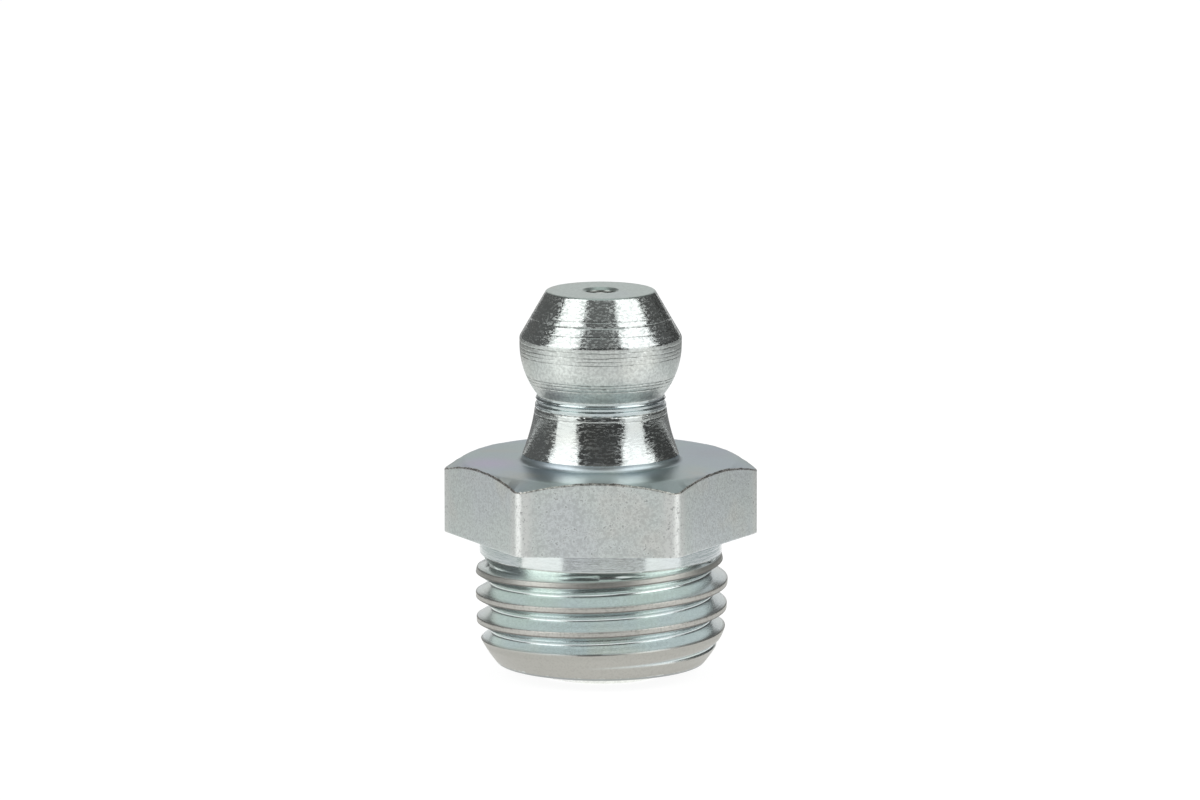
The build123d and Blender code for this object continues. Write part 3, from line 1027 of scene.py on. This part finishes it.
def by_ray(tree, unseen, seen):
    """One shader where camera, glossy and transmission rays see it, and another for the rest."""
    path = tree.add("ShaderNodeLightPath").socket.node
    first, second, third = (Wire(tree, path.outputs[name]) for name in RAYS)
    directly = first.math("MAXIMUM", second).math("MAXIMUM", third)
    return tree.add("ShaderNodeMixShader", {0: directly, 1: unseen, 2: seen})


floor_mesh = bpy.data.meshes.new("floor")
floor_level = cad_low.z
corners = [(x * FLOOR_HALF, y * FLOOR_HALF, floor_level) for x, y in ((-1, -1), (1, -1), (1, 1), (-1, 1))]
floor_mesh.from_pydata(corners, [], [(0, 1, 2, 3)])
paper = bpy.data.materials.new("white_paper")
tree = empty_tree(paper)
plain = tree.add("ShaderNodeBsdfDiffuse", {"Color": (*[FLOOR_SHADE] * 3, 1)})
faint = tree.add("ShaderNodeBsdfDiffuse", {"Color": (*[FLOOR_SHADE_SEEN] * 3, 1)})
glow = tree.add("ShaderNodeEmission", {"Color": (1, 1, 1, 1), "Strength": FLOOR_GLOW})
shown = tree.add("ShaderNodeAddShader", {0: glow, 1: faint})
tree.add("ShaderNodeOutputMaterial", {"Surface": by_ray(tree, plain, shown)})
floor_mesh.materials.append(paper)
placed("floor", floor_mesh)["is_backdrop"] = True

room = bpy.data.worlds.new("white_room")
tree = empty_tree(room)
seen = tree.add("ShaderNodeBackground", {"Color": (1, 1, 1, 1), "Strength": 1.0})
unseen = tree.add("ShaderNodeBackground", {"Color": (1, 1, 1, 1), "Strength": ROOM_LIGHT})
tree.add("ShaderNodeOutputWorld", {"Surface": by_ray(tree, unseen, seen)})
bpy.context.scene.world = room
bpy.context.scene.view_settings.view_transform = "Standard"
print("floor at", round(floor_level / MM, 2), "mm, in", room.name)

# %% [markdown]
# ## The light
# Shiny metal shows the room, so lighting it means deciding what it mirrors. Two tall soft boxes stand left and
# right of the camera and make the white stripes on every round face; below each stands a narrower one for the
# neck. Between them, around the camera, and again behind them, hang dark cloths: they make the dark stripes. A dim
# ceiling lights the faces that look up. All of them are patches of one big sphere round the nipple, and the camera
# looks through them.

# %% Studio
STUDIO_RADIUS = 0.62  # metres
PATCH_STEP = 6  # degrees
WHITE, CEILING_WHITE, CARD_WHITE = (1.0, 1.0, 1.0), (0.93, 1.0, 0.99), (0.90, 1.0, 0.98)
LOW_ROW, LOW_CLOTH_ROW, MIDDLE_ROW, HIGH_ROW = (1, 18), (18, 38), (18, 62), (38, 62)  # spans up the sphere


def spread(span):
    """Angles across a span given in degrees."""
    return np.radians(np.linspace(*span, max(2, int((span[1] - span[0]) / PATCH_STEP) + 1)))


def glowing_sheet(name, rows, glow, colour):
    """A glowing sheet through rows of points that the camera can't see."""
    mesh = mesh_of(name, rows)
    cloth = bpy.data.materials.new(name)
    tree = empty_tree(cloth)
    light = tree.add("ShaderNodeEmission", {"Color": (*colour, 1), "Strength": glow})
    tree.add("ShaderNodeOutputMaterial", {"Surface": light})
    mesh.materials.append(cloth)
    sheet = placed(name, mesh)
    sheet.visible_camera = False
    sheet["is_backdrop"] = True
    return sheet


def studio_patch(name, compass, heights, glow, colour=WHITE):
    """Part of the studio sphere, spans in degrees. Compass 0 is the camera's side and grows to the right."""
    reach = STUDIO_RADIUS / MM
    rows = [ring(reach * math.cos(up), reach * math.sin(up), spread(compass)) for up in spread(heights)]
    glowing_sheet(name, rows, glow, colour)


for patch in (
    ("foot_cloth_left", (-160, -78), LOW_ROW, 0.16),
    ("foot_box_left", (-78, -41), LOW_ROW, 1.75),
    ("foot_cloth_at_camera", (-41, 43), LOW_ROW, 0.08),
    ("foot_box_right", (43, 78), LOW_ROW, 1.5),
    ("foot_cloth_right", (78, 160), LOW_ROW, 0.08),
    ("cloth_left", (-160, -86), MIDDLE_ROW, 0.16),
    ("soft_box_left", (-86, -36), MIDDLE_ROW, 2.3),
    ("cloth_at_camera", (-36, 37), LOW_CLOTH_ROW, 0.10),
    ("cloth_over_camera", (-36, 37), HIGH_ROW, 0.22),
    ("soft_box_right", (37, 94), MIDDLE_ROW, 2.15),
    ("cloth_right", (94, 160), MIDDLE_ROW, 0.14),
    ("wall_behind", (160, 200), (1, 62), 0.76),
    ("ceiling", (-180, 180), (62, 90), 0.72, CEILING_WHITE),
):
    studio_patch(*patch)
print("studio sphere of", STUDIO_RADIUS, "m hung")

# %% [markdown]
# A face that stands upright mirrors the floor, and the higher the face, the further away is the floor it mirrors.
# So cards in rings on the floor light one zone each: the nearest ring belongs to the thread, the next to the collar,
# then comes the hexagon's, and the far one belongs to the neck. Only reflections see the cards.

# %% Cards on the floor
CARD_LIFT = 0.3  # mm
THREAD_RING, COLLAR_RING, COLLAR_NEAR, COLLAR_FAR = (13, 26), (26, 48), (26, 36), (28, 36)  # mm from the axis
HEXAGON_RING, HEXAGON_FAR, NECK_RING = (36, 56), (48, 56), (58, 600)


def floor_card(name, compass, distances, glow, colour=WHITE):
    """Part of a ring on the floor: compass span in degrees, distances from the axis in mm."""
    height = floor_level / MM + CARD_LIFT
    card = glowing_sheet(name, [ring(distance, height, spread(compass)) for distance in distances], glow, colour)
    card.visible_diffuse = False
    card.visible_shadow = False


for card in (
    ("collar_card_left", (-73, -32), COLLAR_RING, 1.60),
    ("collar_card_right", (41, 77), COLLAR_RING, 1.50),
    ("collar_card_front", (-32, 41), COLLAR_NEAR, 0.50),
    ("collar_card_far_left", (-180, -73), COLLAR_FAR, 0.60, CARD_WHITE),
    ("collar_card_far_right", (77, 180), COLLAR_FAR, 0.56, CARD_WHITE),
    ("thread_card_left", (-70, -33), THREAD_RING, 1.30),
    ("thread_card_right", (36, 72), THREAD_RING, 1.20),
    ("hexagon_card_front", (-34, 34), HEXAGON_RING, 1.05),
    ("hexagon_card_left", (-96, -34), HEXAGON_FAR, 1.4),
    ("hexagon_card_right", (34, 96), HEXAGON_FAR, 1.4),
    ("hexagon_card_far_left", (-150, -96), HEXAGON_RING, 0.94),
    ("hexagon_card_far_right", (96, 150), HEXAGON_RING, 0.76),
    ("neck_card", (95, 265), NECK_RING, 0.25),
):
    floor_card(*card)
print("cards laid from", THREAD_RING[0], "to", NECK_RING[1], "mm from the axis")

# %% [markdown]
# ## Hand the pieces to the frame
# Each dressed piece takes the place of its CAD node and rides on the node's body. The ball moves down its joint;
# the spring stays with the body.

for piece, node, ridden, slot_name in (
    (body, "nipple_body", "fitting", "plated_steel"),
    (spring, "valve_spring", "fitting", "spring_steel"),
    (ball, "valve_ball", "ball", "ball_steel"),
):
    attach(piece, ridden)
    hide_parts(node)
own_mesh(spring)

low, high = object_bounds()
boxes = [[round(v / MM, 3) for v in corner] for corner in (cad_low, low, cad_high, high)]
print("CAD and visual boxes in mm:", boxes)
